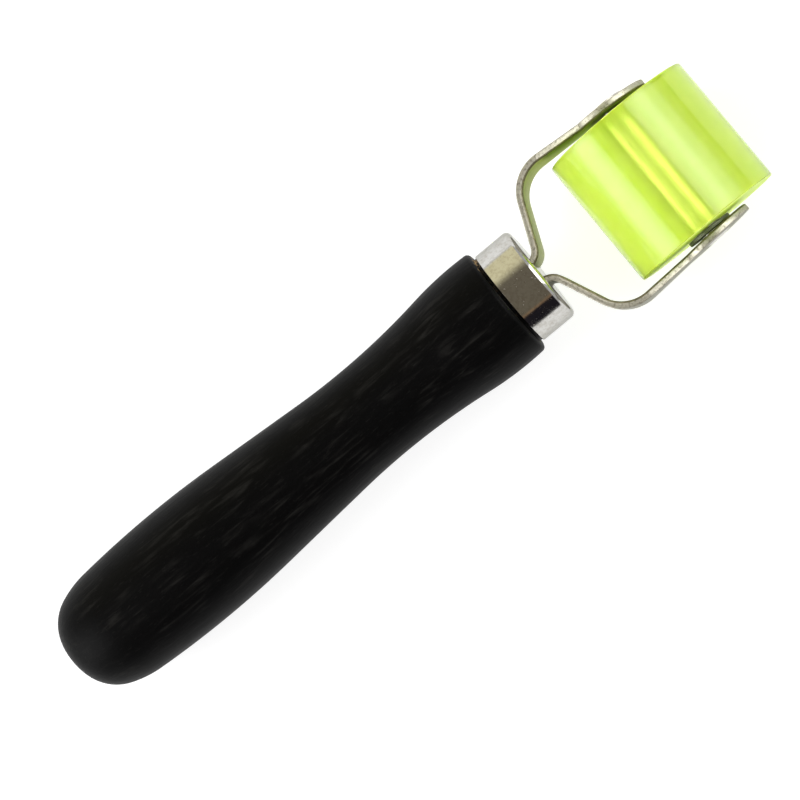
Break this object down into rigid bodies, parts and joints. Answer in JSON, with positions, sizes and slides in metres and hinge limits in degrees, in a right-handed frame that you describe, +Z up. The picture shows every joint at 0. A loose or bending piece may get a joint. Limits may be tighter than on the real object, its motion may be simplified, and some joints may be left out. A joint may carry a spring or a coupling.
{
  "type": "seam roller",
  "caption": "Hand roller for pressing seams: turned wooden handle, metal ferrule, two-armed strip fork and a free-turning elastomer roller on a rivet.",
  "frame": {"origin": "on the ground plane, under the middle of the tool's bounding box, with the tool lying at rest on its roller and its handle's belly", "axes": "+X forward from the handle to the roller, +Y along the roller's axle to the left, +Z up from the ground plane"},
  "size_m": [0.1896, 0.0402, 0.0365],
  "materials": {
    "painted_wood": "black satin paint over hardwood",
    "polished_nickel": "bright nickel plate",
    "plated_strip": "nickel-plated strip with sheared edges",
    "plain_steel": "plain drawn wire",
    "rivet_steel": "nickel plate, worn at the peened end",
    "washer_steel": "plain zinc plate",
    "sleeve_steel": "drawn steel tube",
    "lime_elastomer": "clear lime polyurethane, ground ends"
  },
  "bodies": {
    "frame": {"handle": "painted_wood", "ferrule": "polished_nickel", "fork_arm_left": "plated_strip", "fork_arm_right": "plated_strip", "tang_pin": "plain_steel", "axle_rivet": "rivet_steel"},
    "roller": {"roller_tyre": "lime_elastomer", "roller_sleeve": "sleeve_steel"},
    "left_washer": {"washer_left": "washer_steel"},
    "right_washer": {"washer_right": "washer_steel"}
  },
  "joints": [
    {"name": "roller_spin", "type": "hinge", "parent": "frame", "child": "roller", "pos_m": [0.07655, 0, 0.01825], "axis": [0, 1, 0], "continuous": true},
    {"name": "left_washer_spin", "type": "hinge", "parent": "frame", "child": "left_washer", "pos_m": [0.07655, 0.01659, 0.01825], "axis": [0, 1, 0], "continuous": true},
    {"name": "right_washer_spin", "type": "hinge", "parent": "frame", "child": "right_washer", "pos_m": [0.07655, -0.01659, 0.01825], "axis": [0, 1, 0], "continuous": true}
  ]
}
